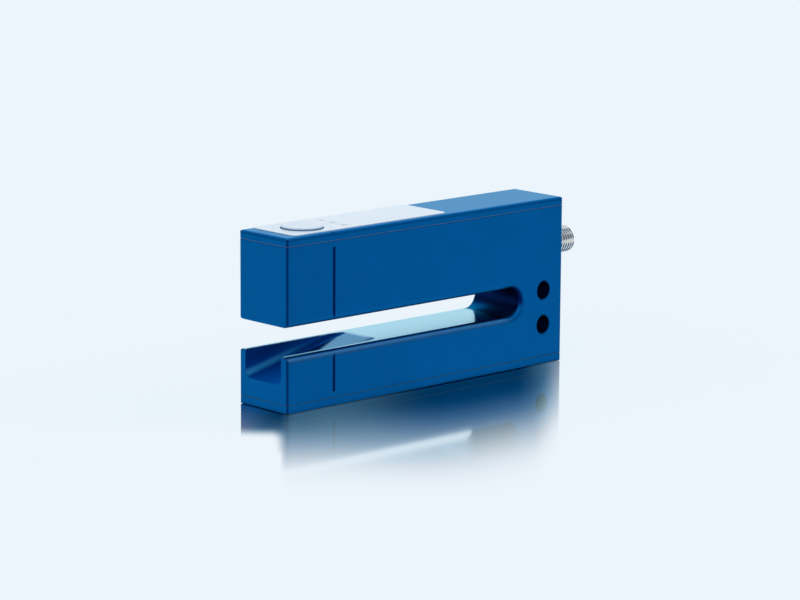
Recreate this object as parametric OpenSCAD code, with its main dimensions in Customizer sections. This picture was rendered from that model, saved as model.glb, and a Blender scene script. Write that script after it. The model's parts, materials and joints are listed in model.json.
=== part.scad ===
// Ultrasonic fork sensor: a blue anodised aluminium fork with a sound transmitter
// in the lower arm and a receiver in the upper arm, that reads what runs between them.
// It stands on its lower cover plate. +X points at the plug, +Z is up, millimetres.
// Inside the modules X is measured from the open end of the fork.

/* [Body] */
// Length of the body, from the open end of the fork to the plug's face
body_l = 109.5; // [98:0.5:130]
// Width of the body
body_w = 20.5; // [20:0.5:26]
// Height over both cover plates
body_h = 50; // [45:0.5:60]
// Radius on the four upright edges
upright_r = 0.9; // [0.5:0.1:1.6]
// Thickness of the side walls beside the boards
side_wall = 2; // [1.6:0.1:2.4]
// Thickness of the front and rear walls
end_wall = 3; // [2.6:0.1:3.6]
// Chamfer on the housing's rims at both parting lines
seam_chamfer = 0.15; // [0.1:0.05:0.4]

/* [Fork slot] */
// Height of the slot's lower face above the base
slot_z = 16.2; // [15.8:0.1:18]
// Height of the slot between the arms
slot_h = 8.3; // [6:0.1:10]
// Length of the solid web behind the slot's round end, where the cross holes lie
web_l = 17.5; // [16:0.5:24]
// Radius that rounds the slot's edges on both sides
slot_edge_r = 1.9; // [0.6:0.1:2.1]
// Radius on the two edges of the slot's mouth
mouth_r = 0.6; // [0.2:0.1:1]
// Metal between the slot and the pocket of the upper arm
arm_floor = 2.5; // [2:0.1:3.2]
// Metal between the slot and the pocket of the lower arm
arm_roof = 2; // [1.6:0.1:2.6]

/* [Beam channel] */
// Width of the sloping channel in the lower arm
channel_w = 15.2; // [14.2:0.1:15.6]
// Height of the channel's floor above the base at the open end
channel_z = 8; // [7.4:0.1:9]
// Distance from the open end to where the floor runs out into the slot
channel_l = 37.5; // [34:0.5:44]
// Radius along the channel's bottom corners
channel_r = 2; // [0.8:0.1:2.6]
// Metal under the channel's floor
channel_floor = 1.8; // [1.4:0.1:2.2]

/* [Beam marks] */
// Distance of the sound beam and its engraved marks from the open end
beam_x = 17.4; // [16.5:0.1:20]
// Width of the engraved marks
mark_w = 1.1; // [0.5:0.1:1.4]
// Depth of the engraved marks
mark_depth = 0.4; // [0.2:0.05:0.6]
// Distance of the marks' outer ends from the parting lines
mark_inset = 1.7; // [1:0.1:4]

/* [Mounting holes] */
// Diameter of the two cross holes, clearance for M5 screws
hole_d = 5.4; // [4.4:0.1:5.6]
// Distance of the holes from the rear face
hole_inset = 7.5; // [6.5:0.1:8]
// Distance between the two holes
hole_pitch = 10.4; // [8:0.1:12]
// Height of the upper hole above the middle of the slot
hole_lift = 2.1; // [0:0.1:3]
// Chamfer at the mouths of the holes
hole_chamfer = 0.5; // [0.1:0.05:0.6]

/* [Cover plates] */
// Thickness of both cover plates
cover_t = 2.4; // [2:0.1:3]
// Radius on the outer edges of the top cover plate
cover_edge_r = 1.1; // [0.3:0.1:1.4]
// Radius on the outer edges of the bottom cover plate
sole_edge_r = 0.7; // [0.3:0.1:1.2]
// Thickness of the bonded seals under the plates
seal_t = 0.2; // [0.1:0.05:0.4]
// Distance that the seals stay back from the outside
seal_back = 0.2; // [0.15:0.05:0.6]
// Depth of the locating lips on the plates
lip_h = 1.2; // [0.8:0.1:1.6]
// Thickness of the locating lips
lip_t = 1; // [0.8:0.1:1.2]

/* [Front label] */
// Distance of the label from the open end
label_x = 4; // [3:0.5:5]
// Length of the label
label_l = 59; // [40:1:90]
// Margin beside the label on the front side
label_margin = 1.7; // [1.5:0.1:3]
// Margin beside the label on the back side
label_back_margin = 0.5; // [0.5:0.1:3]
// Corner radius of the label
label_r = 1.8; // [0.5:0.1:2.4]
// Thickness of the label film
label_t = 0.2; // [0.1:0.05:0.3]

/* [Push button] */
// Distance of the button's centre from the open end
button_x = 14.5; // [12.4:0.1:15]
// Diameter of the button
button_d = 12; // [11:0.1:13]
// Height of the button above the cover plate
button_rise = 1; // [0.6:0.1:1.6]
// Travel of the button
button_travel = 0.35; // [0.2:0.05:0.4]
// Depth of the guide collar under the cover plate
collar_h = 1.8; // [1.4:0.1:2.2]
// Wall of the guide collar
collar_wall = 1.3; // [1:0.1:1.4]
// Radius of the button's sealing ring in section
button_ring_r = 0.45; // [0.3:0.05:0.5]

/* [Boards] */
// Depth of the main board's seat below the housing's top rim
board_drop = 7.4; // [7.4:0.1:9]
// Thickness of both circuit boards
board_t = 1.2; // [0.8:0.1:1.6]
// Width of the ledges that carry the main board
ledge = 1; // [0.6:0.1:1.4]
// Height of the posts that carry the transmitter board
post_h = 1.5; // [1:0.1:2]
// Diameter of the board screws
screw_d = 2; // [1.6:0.1:2.4]
// Distance of the status lights from the open end
light_x = 26.4; // [26:0.1:34]
// Distance between the two status lights
light_pitch = 4.8; // [4.2:0.1:9]
// Distance of the lights' middle from the body's middle plane, negative towards the front side
light_y = -2; // [-3:0.1:3]
// Diameter of the light guides
guide_d = 2.6; // [1.6:0.1:3]

/* [Transducers] */
// Outer diameter of the transducer cups
cup_d = 11; // [9:0.1:11.4]
// Length of the transducer cups
cup_l = 6.5; // [6.2:0.1:7]
// Wall of the transducer cups
cup_wall = 0.8; // [0.5:0.1:1.2]
// Thickness of the matching layer on each transducer
face_t = 1.6; // [1:0.1:2]
// Diameter of the piezo discs
piezo_d = 8; // [5:0.1:8.4]
// Thickness of the piezo discs
piezo_t = 1; // [0.6:0.1:1.4]

/* [Plug] */
// Height of the plug's axis above the upper pocket's floor
plug_lift = 7.6; // [6:0.1:9]
// Length of the plug outside the body
plug_out = 12; // [11:0.5:16]
// Diameter of the plug's thread
plug_d = 8; // [8:0.1:9]
// Bore of the plug around its pins
plug_bore_d = 6.4; // [5.8:0.1:6.6]
// Depth of the plug's open end
plug_depth = 6.5; // [4:0.5:7]
// Diameter of the contact pins
pin_d = 1; // [0.6:0.1:1.2]

/* [Hidden] */
$fn = 48;
overall_l = body_l + plug_out;
fit = 0.05;             // radial clearance of round fits
lip_gap = 0.1;          // clearance between a lip and its pocket
eps = 0.01;             // overshoot of cutters past a face
rim_z = body_h - cover_t - seal_t;
sole_z = cover_t + seal_t;
slot_top = slot_z + slot_h;
slot_mid = slot_z + slot_h / 2;
slot_r = slot_h / 2;
slot_depth = body_l - web_l;
slot_end_x = slot_depth - slot_r;

// Pockets for the electronics
pocket_w = body_w - 2 * side_wall;
pocket_r = 1.5;
upper_floor_z = slot_top + arm_floor;
upper_rear_x = body_l - end_wall;
lower_roof_z = slot_z - arm_roof;
passage_wall = 2.4;     // metal between the slot's end and the wire passage
passage_l = 2.8;
passage_w = 9;
passage_x = slot_depth + passage_wall;
lower_rear_x = passage_x + passage_l;
board_z = rim_z - board_drop;
board_top = board_z + board_t;
board_gap = 0.25;       // clearance beside the boards
shelf_w = pocket_w - 2 * ledge;

// The sound beam leans back by the slope of the channel's floor
tilt = atan((slot_z - channel_z) / channel_l);
cup_r = cup_d / 2;
boss_r = cup_r + 2.1;
boss_l = channel_floor + 3;
cup_flange_r = cup_r + 0.8;
cup_flange_t = 0.8;
beam_drop = (slot_mid - channel_z - beam_x * tan(tilt)) * cos(tilt);
sender_x = beam_x + beam_drop * sin(tilt);
sender_z = slot_mid - beam_drop * cos(tilt);
receiver_z = slot_top + (cup_r + fit) * sin(tilt) + 0.1;
receiver_x = beam_x - (receiver_z - slot_mid) * tan(tilt);
cup_rim = 0.2;          // the matching layer lies this far inside the rim
cup_back_t = 0.8;
lead_hole_r = 1.7;
flex_t = 0.3;
flex_w = 2.4;
flex_out = 0.9;         // the flex strips stand this far out of the cups

// Push button, its guide and its switch
bore_r = button_d / 2 + fit;
collar_r = bore_r + collar_wall;
collar_z = rim_z + seal_t - collar_h;
flange_t = 0.8;
flange_r = collar_r - 0.5;
button_top = body_h + button_rise;
button_wall = 1.5;
button_roof = 1.2;
button_edge_r = 0.35;
label_gap = 0.2;        // distance of the label from the button's bore
stem_r = 1.6;
ring_major = bore_r - fit - button_ring_r;
ring_z = body_h - cover_t / 2 - 0.3;
plunger_top = collar_z - flange_t - 0.1;
plunger_r = 1.7;
switch_l = 6;
plunger_out = button_travel + 0.25;
switch_top = plunger_top - plunger_out;

// Main board and what stands on it, in a row between its two posts
board_x = end_wall + 0.5;
board_w = pocket_w - 2 * board_gap;
post_wall = 1.4;
post_r = screw_d / 2 + post_wall;
front_post_back = 13.6; // distance of the front post from the lights
front_post_x = light_x + front_post_back;
rear_post_back = 16;    // distance of the rear post from the slot's end
rear_post_x = slot_depth - rear_post_back;
row_pitch = (rear_post_x - front_post_x) / 3;
coil_x = rear_post_x - row_pitch;
chip_x = coil_x - row_pitch;
upper_post_x = [front_post_x, rear_post_x];
chip_w = 7;
chip_h = 1.2;
coil_w = 9;
coil_base_h = 1;
coil_r = 3.6;
coil_h = 4.4;
capacitor_r = 2.2;
capacitor_h = 4.4;
capacitor_pitch = 6;
capacitor_y = board_w / 2 - capacitor_r - 1.4;
capacitor_x = [for (n = [-0.5, 0.5, 3]) rear_post_x + n * capacitor_pitch];
light_l = 3;
light_w = 2;
light_h = 1.2;
guide_gap = 0.2;        // between a light and its guide
guide_flange_t = 0.6;
guide_flange_r = guide_d / 2 + 0.5;

// Transmitter board, its posts and the headers of both boards
header_l = 3.5;
header_w = 8;
header_h = 3.5;
header_back = 4;        // distance of the upper header from the slot's end
upper_header_x = slot_depth - header_back;
lower_board_x = channel_l + 2;
lower_board_l = 22;
lower_board_w = pocket_w - 4.5;
lower_board_z = lower_roof_z - post_h - board_t;
lower_header_x = lower_board_x + lower_board_l - header_l;
lower_post_in = 3;      // distance of the front post from the board's end
lower_post_x = [lower_board_x + lower_post_in, lower_header_x - post_r - 1.6];

// Board screws
head_r = screw_d * 0.95;
head_h = screw_d * 0.65;
screw_l = 5;
screw_bite = 1;         // length of the lower screws past their posts
lower_screw_l = post_h + board_t + screw_bite;

// Ribbon between the arms and flex strips
ribbon_t = 0.9;
ribbon_w = 6;
ribbon_bend = 1.6;
ribbon_x = passage_x + passage_l / 2;
ribbon_top_z = board_z - header_h / 2;
ribbon_low_z = lower_board_z - header_h / 2;
flex_pad = 0.6;         // distance of the flex strip's pad from the board's edge

// Plug
plug_z = upper_floor_z + plug_lift;
shank_r = 4.5;
flange_seal_t = 0.4;
plug_flange_r = 5.75;
plug_flange_t = 1.8;
plug_neck_l = 0.9;
plug_neck_r = plug_d / 2 - 0.55;
plug_ring_r = 0.35;
nut_t = 2.2;
nut_r = 5.6;
nut_slot_w = 1.4;
shell_in_x = upper_rear_x - nut_t - 0.8;
insert_in_x = shell_in_x - 0.5;
insert_r = plug_bore_d / 2 - fit;
insert_end_x = overall_l - plug_depth;
pin_end_x = overall_l - 1;
pin_circle_r = 1.8;
pin_angles = [45, 135, 225, 315];
plug_board_t = 1;
plug_board_r = 5;
plug_board_x = insert_in_x - plug_board_t;
pin_in_x = plug_board_x - 0.6;
board_end_x = plug_board_x - 1;
plug_flex_w = 4.4;
riser_back = 1.5;       // distance of the plug's flex strip from the main board's end

anodised = "#00508f";

// Moves a piece from the fork's open end to the middle of the overall length
module placed() {
  translate([-overall_l / 2, 0, 0]) children();
}

// Flat outline with four round corners, its near end at X = x
module rounded_outline(x, l, w, r) {
  translate([x + r, -w / 2]) square([l - 2 * r, w]);
  translate([x, -w / 2 + r]) square([l, w - 2 * r]);
  for (cx = [x + r, x + l - r], cy = [-w / 2 + r, w / 2 - r])
    translate([cx, cy]) circle(r = r);
}

// Extrudes an outline drawn in X and Z across the width
module across(w) {
  translate([0, w / 2, 0]) rotate([90, 0, 0]) linear_extrude(w) children();
}

// Extrudes an outline drawn in Y and Z along the length, from x
module along(x, l) {
  translate([x, 0, 0]) rotate([90, 0, 90]) linear_extrude(l) children();
}

// Side view of a plate whose upper corners are rounded
module crowned(x, l, t, r) {
  translate([x, 0]) square([l, t - r]);
  translate([x + r, 0]) square([l - 2 * r, t]);
  for (cx = [x + r, x + l - r])
    translate([cx, t - r]) circle(r = r);
}

// Side view of a block with a chamfer at all four corners
module chamfered(x, l, low, high, c) {
  polygon([
    [x + c, low], [x + l - c, low], [x + l, low + c], [x + l, high - c],
    [x + l - c, high], [x + c, high], [x, high - c], [x, low + c]
  ]);
}

// Plate with round upright edges and a crowned upper side
module cover_plate(edge_r) {
  intersection() {
    linear_extrude(cover_t) rounded_outline(0, body_l, body_w, upright_r);
    across(body_w) crowned(0, body_l, cover_t, edge_r);
    along(0, body_l) crowned(-body_w / 2, body_w, cover_t, edge_r);
  }
}

// Low frame that locates a plate in its pocket
module lip(x, l) {
  linear_extrude(lip_h) difference() {
    rounded_outline(x + lip_gap, l - 2 * lip_gap, pocket_w - 2 * lip_gap, pocket_r - lip_gap);
    rounded_outline(x + lip_gap + lip_t, l - 2 * lip_gap - 2 * lip_t,
      pocket_w - 2 * lip_gap - 2 * lip_t, pocket_r - lip_gap);
  }
}

// Flat strip that follows a path in X and Z, with round bends
module strip(path, t, w) {
  across(w) for (i = [0 : len(path) - 2]) {
    a = path[i];
    d = path[i + 1] - a;
    translate(a) rotate(atan2(d[1], d[0])) translate([0, -t / 2]) square([norm(d), t]);
    if (i > 0) translate(a) circle(d = t);
  }
}

// Places a transducer piece: +Z of the piece is where its sound goes or comes from
module at_sender() {
  translate([sender_x, 0, sender_z]) rotate([0, -tilt, 0]) children();
}

module at_receiver() {
  translate([receiver_x, 0, receiver_z]) rotate([0, 180 - tilt, 0]) children();
}

// Slot between the arms, with its mouth flared by the edge radius
module slot_outline() {
  translate([-1, slot_z]) square([slot_end_x + 1, slot_h]);
  translate([slot_end_x, slot_mid]) circle(r = slot_r);
  for (side = [0, 1]) translate([0, slot_mid]) mirror([0, side]) difference() {
    translate([-1, 0]) square([1 + mouth_r, slot_r + mouth_r]);
    translate([mouth_r, slot_r + mouth_r]) circle(r = mouth_r);
  }
}

// Section of the round edge that is cut off beside the slot: X is the distance
// from the slot's middle, Y is the distance from the body's middle plane
module edge_section() {
  difference() {
    translate([slot_r - 0.3, body_w / 2 - slot_edge_r]) square([slot_edge_r + 0.3, slot_edge_r + 1]);
    translate([slot_r + slot_edge_r, body_w / 2 - slot_edge_r]) circle(r = slot_edge_r);
    translate([slot_r + slot_edge_r, body_w / 2 - slot_edge_r]) square([1, slot_edge_r + 2]);
  }
}

// Rounds the slot's edges on one side of the body
module slot_edge() {
  translate([slot_end_x, 0, slot_mid]) rotate([-90, 0, 0]) rotate_extrude() edge_section();
  for (up = [0, 1]) translate([0, 0, slot_mid]) mirror([0, 0, up])
    translate([-1, 0, 0]) rotate([90, 0, 90]) linear_extrude(slot_end_x + 1)
      mirror([1, -1]) edge_section();
}

// Sloping channel, milled along its floor with round bottom corners
module channel() {
  intersection() {
    translate([0, 0, channel_z]) rotate([0, -tilt, 0]) along(-4, channel_l + 8) {
      translate([-channel_w / 2, channel_r]) square([channel_w, slot_z]);
      translate([-channel_w / 2 + channel_r, 0]) square([channel_w - 2 * channel_r, slot_z]);
      for (side = [-1, 1])
        translate([side * (channel_w / 2 - channel_r), channel_r]) circle(r = channel_r);
    }
    across(body_w) translate([-2, 0]) square([channel_l + 6, slot_mid]);
  }
}

// Pocket of the upper arm: a wide part for the board over a narrower one
module upper_pocket() {
  difference() {
    union() {
      translate([0, 0, board_z]) linear_extrude(board_drop + 1)
        rounded_outline(end_wall, upper_rear_x - end_wall, pocket_w, pocket_r);
      translate([0, 0, upper_floor_z]) linear_extrude(board_z - upper_floor_z + eps)
        rounded_outline(end_wall, upper_rear_x - end_wall, shelf_w, pocket_r);
    }
    at_receiver() translate([0, 0, -boss_l]) cylinder(r = boss_r, h = boss_l + 4);
    for (x = upper_post_x) translate([x, 0, upper_floor_z - 1])
      cylinder(r = post_r, h = board_z - upper_floor_z + 1);
  }
}

// Pocket of the lower arm: its roof follows the channel, then the slot
module lower_pocket() {
  roof_drop = channel_floor / cos(tilt);
  knee_x = (lower_roof_z - channel_z + roof_drop) / tan(tilt);
  difference() {
    intersection() {
      linear_extrude(lower_roof_z)
        rounded_outline(end_wall, lower_rear_x - end_wall, pocket_w, pocket_r);
      across(body_w) polygon([
        [0, sole_z - 1], [body_l, sole_z - 1], [body_l, lower_roof_z],
        [knee_x, lower_roof_z], [0, channel_z - roof_drop]
      ]);
    }
    at_sender() translate([0, 0, -boss_l]) cylinder(r = boss_r, h = boss_l);
    for (x = lower_post_x) translate([x, 0, lower_roof_z - post_h])
      cylinder(r = post_r, h = post_h + 1);
  }
}

// Cross hole with chamfered mouths
module mounting_hole(z) {
  translate([body_l - hole_inset, 0, z]) rotate([90, 0, 0]) {
    cylinder(d = hole_d, h = body_w + 2, center = true);
    for (side = [0, 1]) mirror([0, 0, side]) translate([0, 0, body_w / 2 - hole_chamfer])
      cylinder(d1 = hole_d, d2 = hole_d + 2 * hole_chamfer + 0.2, h = hole_chamfer + 0.1);
  }
}

// Engraved mark of the beam on one arm, on both sides of the body
module beam_mark(low, high) {
  for (side = [-1, 1])
    translate([beam_x - mark_w / 2, side * (body_w / 2 - mark_depth / 2 + 0.5) - mark_depth / 2 - 0.5, low])
      cube([mark_w, mark_depth + 1, high - low]);
}

module fork_housing() {
  placed() color(anodised) difference() {
    intersection() {
      translate([0, 0, sole_z]) linear_extrude(rim_z - sole_z)
        rounded_outline(0, body_l, body_w, upright_r);
      across(body_w) chamfered(0, body_l, sole_z, rim_z, seam_chamfer);
      along(0, body_l) chamfered(-body_w / 2, body_w, sole_z, rim_z, seam_chamfer);
    }
    across(body_w + 2) slot_outline();
    for (side = [0, 1]) mirror([0, side, 0]) slot_edge();
    channel();
    upper_pocket();
    lower_pocket();
    translate([passage_x, -passage_w / 2, sole_z + 2])
      cube([passage_l, passage_w, upper_floor_z - sole_z]);
    at_sender() translate([0, 0, -boss_l - 1]) cylinder(r = cup_r + fit, h = boss_l + 3);
    at_receiver() translate([0, 0, -boss_l - 1]) cylinder(r = cup_r + fit, h = boss_l + 4);
    for (x = upper_post_x) translate([x, 0, board_z - screw_l])
      cylinder(d = screw_d + 2 * fit, h = screw_l + 1);
    for (x = lower_post_x) translate([x, 0, lower_roof_z - post_h - 1])
      cylinder(d = screw_d + 2 * fit, h = post_h + 2);
    for (z = [slot_mid + hole_lift, slot_mid + hole_lift - hole_pitch]) mounting_hole(z);
    beam_mark(sole_z + mark_inset, slot_z);
    beam_mark(slot_top, rim_z - mark_inset);
    translate([upper_rear_x - 1, 0, plug_z]) rotate([0, 90, 0])
      cylinder(r = shank_r + fit, h = end_wall + 2);
  }
}

module top_cover() {
  placed() color(anodised) difference() {
    union() {
      translate([0, 0, rim_z + seal_t]) cover_plate(cover_edge_r);
      translate([0, 0, rim_z + seal_t - lip_h]) lip(end_wall, upper_rear_x - end_wall);
      translate([button_x, 0, collar_z]) cylinder(r = collar_r, h = collar_h + 0.5);
    }
    translate([button_x, 0, collar_z - 1]) cylinder(r = bore_r, h = collar_h + cover_t + 2);
    for (side = [-1, 1]) translate([light_x, light_y + side * light_pitch / 2, rim_z])
      cylinder(d = guide_d + 2 * fit, h = cover_t + 2);
  }
}

module bottom_cover() {
  placed() color(anodised) {
    translate([0, 0, cover_t]) mirror([0, 0, 1]) cover_plate(sole_edge_r);
    translate([0, 0, cover_t]) lip(end_wall, lower_rear_x - end_wall);
  }
}

// Thin bonded seal around a pocket
module seal(pocket_end) {
  linear_extrude(seal_t) difference() {
    rounded_outline(seal_back, body_l - 2 * seal_back, body_w - 2 * seal_back, upright_r);
    rounded_outline(end_wall, pocket_end - end_wall, pocket_w, pocket_r);
  }
}

module top_seal() {
  placed() color("#2a3440") translate([0, 0, rim_z]) seal(upper_rear_x);
}

module bottom_seal() {
  placed() color("#2a3440") translate([0, 0, cover_t]) seal(lower_rear_x);
}

module label_film() {
  near_y = -body_w / 2 + label_margin;
  far_y = body_w / 2 - label_back_margin;
  placed() color("#e2ecf4") translate([0, 0, body_h]) linear_extrude(label_t) difference() {
    translate([0, (near_y + far_y) / 2]) rounded_outline(label_x, label_l, far_y - near_y, label_r);
    translate([button_x, 0]) circle(r = bore_r + label_gap);
  }
}

// Half section of the button: X is the radius, Y is the height
module button_section() {
  r = button_d / 2;
  difference() {
    union() {
      translate([0, collar_z - flange_t]) square([flange_r, flange_t]);
      translate([0, collar_z - flange_t]) square([r, button_top - button_edge_r - collar_z + flange_t]);
      square_top = button_top - button_edge_r;
      translate([0, square_top - eps]) square([r - button_edge_r, button_edge_r + eps]);
      translate([r - button_edge_r, square_top]) circle(r = button_edge_r);
    }
    translate([stem_r, collar_z - flange_t - 1])
      square([r - button_wall - stem_r, button_top - button_roof - collar_z + flange_t + 1]);
    translate([ring_major - button_ring_r - fit, ring_z - button_ring_r - fit])
      square([3, 2 * (button_ring_r + fit)]);
  }
  translate([0, plunger_top]) square([stem_r, button_top - button_roof - plunger_top]);
}

module push_button() {
  placed() color("#e6eef5") translate([button_x, 0, 0]) rotate_extrude() button_section();
}

module button_ring() {
  placed() color("#20242a") translate([button_x, 0, ring_z]) rotate_extrude()
    translate([ring_major, 0]) circle(r = button_ring_r);
}

module switch_plunger() {
  placed() color("#d9d4c4") translate([button_x, 0, switch_top - 1.4])
    cylinder(r = plunger_r, h = plunger_out + 1.4);
}

module push_switch() {
  placed() color("#30343a") difference() {
    translate([button_x - switch_l / 2, -switch_l / 2, board_top])
      cube([switch_l, switch_l, switch_top - board_top]);
    translate([button_x, 0, switch_top - 1.4 - button_travel - 0.2])
      cylinder(r = plunger_r + fit, h = 4);
  }
}

module main_board() {
  placed() color("#1d6b45") difference() {
    translate([0, 0, board_z]) linear_extrude(board_t)
      rounded_outline(board_x, board_end_x - board_x, board_w, pocket_r);
    for (x = upper_post_x) translate([x, 0, board_z - 1])
      cylinder(d = screw_d + 2 * fit, h = board_t + 2);
  }
}

// Square package on the main board, centred on x and y
module on_board(x, y, l, w, h) {
  translate([x - l / 2, y - w / 2, board_top]) cube([l, w, h]);
}

module control_chip() {
  placed() color("#26282c") on_board(chip_x, 0, chip_w, chip_w, chip_h);
}

module drive_coil() {
  placed() color("#4a4d52") {
    on_board(coil_x, 0, coil_w, coil_w, coil_base_h);
    translate([coil_x, 0, board_top]) cylinder(r = coil_r, h = coil_h);
  }
}

module capacitors() {
  placed() color("#b9bdc2") for (x = capacitor_x)
    translate([x, capacitor_y, board_top]) cylinder(r = capacitor_r, h = capacitor_h);
}

module light(side) {
  on_board(light_x, light_y + side * light_pitch / 2, light_l, light_w, light_h);
}

module light_green() {
  placed() color("#9fe08a") light(1);
}

module light_amber() {
  placed() color("#f2b04a") light(-1);
}

module light_guides() {
  foot_z = board_top + light_h + guide_gap;
  placed() color("#dfe8ee") for (side = [-1, 1])
    translate([light_x, light_y + side * light_pitch / 2, 0]) {
      translate([0, 0, foot_z]) cylinder(d = guide_d, h = body_h - foot_z);
      translate([0, 0, rim_z + seal_t - guide_flange_t])
        cylinder(r = guide_flange_r, h = guide_flange_t);
    }
}

module transmitter_board() {
  placed() color("#1d6b45") difference() {
    translate([lower_board_x, -lower_board_w / 2, lower_board_z])
      cube([lower_board_l, lower_board_w, board_t]);
    for (x = lower_post_x) translate([x, 0, lower_board_z - 1])
      cylinder(d = screw_d + 2 * fit, h = board_t + 2);
  }
}

// Pan-head screw, its head's underside at the origin and its shank upwards
module screw(l) {
  cylinder(d = screw_d, h = l);
  translate([0, 0, -head_h]) cylinder(r = head_r, h = head_h);
}

module board_screws() {
  placed() color("#b8b8b4") {
    for (x = upper_post_x) translate([x, 0, board_top]) mirror([0, 0, 1]) screw(screw_l);
    for (x = lower_post_x) translate([x, 0, lower_board_z]) screw(lower_screw_l);
  }
}

module upper_header() {
  placed() color("#e7e2d2") translate([upper_header_x - header_l, -header_w / 2, board_z - header_h])
    cube([header_l, header_w, header_h]);
}

module lower_header() {
  placed() color("#e7e2d2") translate([lower_header_x, -header_w / 2, lower_board_z - header_h])
    cube([header_l, header_w, header_h]);
}

// Quarter bend of the ribbon, from heading along X to heading along Z
module ribbon_corner() {
  intersection() {
    difference() {
      circle(r = ribbon_bend + ribbon_t / 2);
      circle(r = ribbon_bend - ribbon_t / 2);
    }
    square(ribbon_bend + ribbon_t);
  }
}

module link_ribbon() {
  lower_x = lower_header_x + header_l;
  placed() color("#8d939b") across(ribbon_w) {
    translate([upper_header_x, ribbon_top_z - ribbon_t / 2])
      square([ribbon_x - ribbon_bend - upper_header_x, ribbon_t]);
    translate([ribbon_x - ribbon_bend, ribbon_top_z - ribbon_bend]) ribbon_corner();
    translate([ribbon_x - ribbon_t / 2, ribbon_low_z + ribbon_bend])
      square([ribbon_t, ribbon_top_z - ribbon_low_z - 2 * ribbon_bend]);
    translate([ribbon_x - ribbon_bend, ribbon_low_z + ribbon_bend]) mirror([0, 1]) ribbon_corner();
    translate([lower_x, ribbon_low_z - ribbon_t / 2])
      square([ribbon_x - ribbon_bend - lower_x, ribbon_t]);
  }
}

// Cup of a transducer: an open tube with a seating flange and a holed back
module cup() {
  difference() {
    union() {
      translate([0, 0, -cup_l]) cylinder(r = cup_r, h = cup_l);
      translate([0, 0, -boss_l - cup_flange_t]) cylinder(r = cup_flange_r, h = cup_flange_t);
    }
    translate([0, 0, -cup_l + cup_back_t]) cylinder(r = cup_r - cup_wall, h = cup_l);
    translate([0, 0, -cup_l - 1]) cylinder(r = lead_hole_r, h = 3);
  }
}

// Round layer inside a cup, its top at z
module layer(z, t, r) {
  translate([0, 0, z - t]) cylinder(r = r, h = t);
}

module matching_layer() {
  layer(-cup_rim, face_t, cup_r - cup_wall - fit);
}

module piezo() {
  layer(-cup_rim - face_t, piezo_t, piezo_d / 2);
}

module backing() {
  top = cup_rim + face_t + piezo_t;
  layer(-top, cup_l - cup_back_t - top, cup_r - cup_wall - 0.2);
}

module transmitter_cup() {
  placed() color("#c9cdd1") at_sender() cup();
}

module transmitter_face() {
  placed() color("#e9e6dc") at_sender() matching_layer();
}

module transmitter_piezo() {
  placed() color("#c8b98a") at_sender() piezo();
}

module transmitter_backing() {
  placed() color("#4c5058") at_sender() backing();
}

// Flex strip from the back of the transmitter to the small board
module transmitter_flex() {
  depth = cup_l - cup_back_t;
  back = [sender_x + depth * sin(tilt), sender_z - depth * cos(tilt)];
  out = cup_back_t + flex_out;
  elbow = back + [out * sin(tilt), -out * cos(tilt)];
  pad_x = lower_board_x + flex_pad;
  placed() color("#b9722e")
    strip([back, elbow, [pad_x, elbow[1]], [pad_x, lower_board_z]], flex_t, flex_w);
}

module receiver_cup() {
  placed() color("#c9cdd1") at_receiver() cup();
}

module receiver_face() {
  placed() color("#e9e6dc") at_receiver() matching_layer();
}

module receiver_piezo() {
  placed() color("#c8b98a") at_receiver() piezo();
}

module receiver_backing() {
  placed() color("#4c5058") at_receiver() backing();
}

// Flex strip from the back of the receiver to the main board
module receiver_flex() {
  depth = cup_l - cup_back_t;
  back = [receiver_x - depth * sin(tilt), receiver_z + depth * cos(tilt)];
  out = cup_back_t + flex_out;
  elbow = back + [-out * sin(tilt), out * cos(tilt)];
  placed() color("#b9722e") strip([back, elbow, [elbow[0], board_z]], flex_t, flex_w);
}

// Places a turned plug piece: its section's height runs along +X
module turned_plug() {
  translate([0, 0, plug_z]) rotate([0, 90, 0]) rotate_extrude() children();
}

// Square block in a turned section, from x0 to x1 and r0 to r1
module turn(x0, x1, r0, r1) {
  translate([r0, x0]) square([r1 - r0, x1 - x0]);
}

module plug_shell() {
  seat_x = body_l + flange_seal_t;
  neck_x = seat_x + plug_flange_t;
  thread_x = neck_x + plug_neck_l;
  thread_r = plug_d / 2;
  bore = plug_bore_d / 2;
  end_chamfer = 0.5;
  placed() color("#c4c7c6") turned_plug() {
    turn(shell_in_x, neck_x, bore, shank_r);
    turn(seat_x, neck_x, bore, plug_flange_r);
    turn(seat_x, overall_l, bore, plug_neck_r);
    polygon([
      [bore, thread_x], [thread_r, thread_x], [thread_r, overall_l - end_chamfer],
      [thread_r - end_chamfer, overall_l], [bore, overall_l]
    ]);
  }
}

module plug_insert() {
  key_w = 1.2;
  placed() color("#1c1e22") difference() {
    turned_plug() turn(insert_in_x, insert_end_x, 0, insert_r);
    for (a = pin_angles) translate([insert_in_x - 1, 0, plug_z]) rotate([a, 0, 0])
      translate([0, pin_circle_r, 0]) rotate([0, 90, 0])
        cylinder(d = pin_d + 2 * fit, h = insert_end_x - insert_in_x + 2);
    translate([insert_end_x - 2, -key_w / 2, plug_z + insert_r - 0.6]) cube([3, key_w, 2]);
  }
}

module plug_pins() {
  placed() color("#d8b45a") for (a = pin_angles) translate([pin_in_x, 0, plug_z]) rotate([a, 0, 0])
    translate([0, pin_circle_r, 0]) rotate([0, 90, 0])
      cylinder(d = pin_d, h = pin_end_x - pin_in_x);
}

module plug_ring() {
  ring_x = body_l + flange_seal_t + plug_flange_t + plug_neck_l / 2;
  placed() color("#1c1e22") turned_plug()
    translate([plug_neck_r + fit + plug_ring_r, ring_x]) circle(r = plug_ring_r);
}

module plug_gasket() {
  placed() color("#1c1e22") turned_plug()
    turn(body_l, body_l + flange_seal_t, shank_r + fit, plug_flange_r - 0.2);
}

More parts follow.
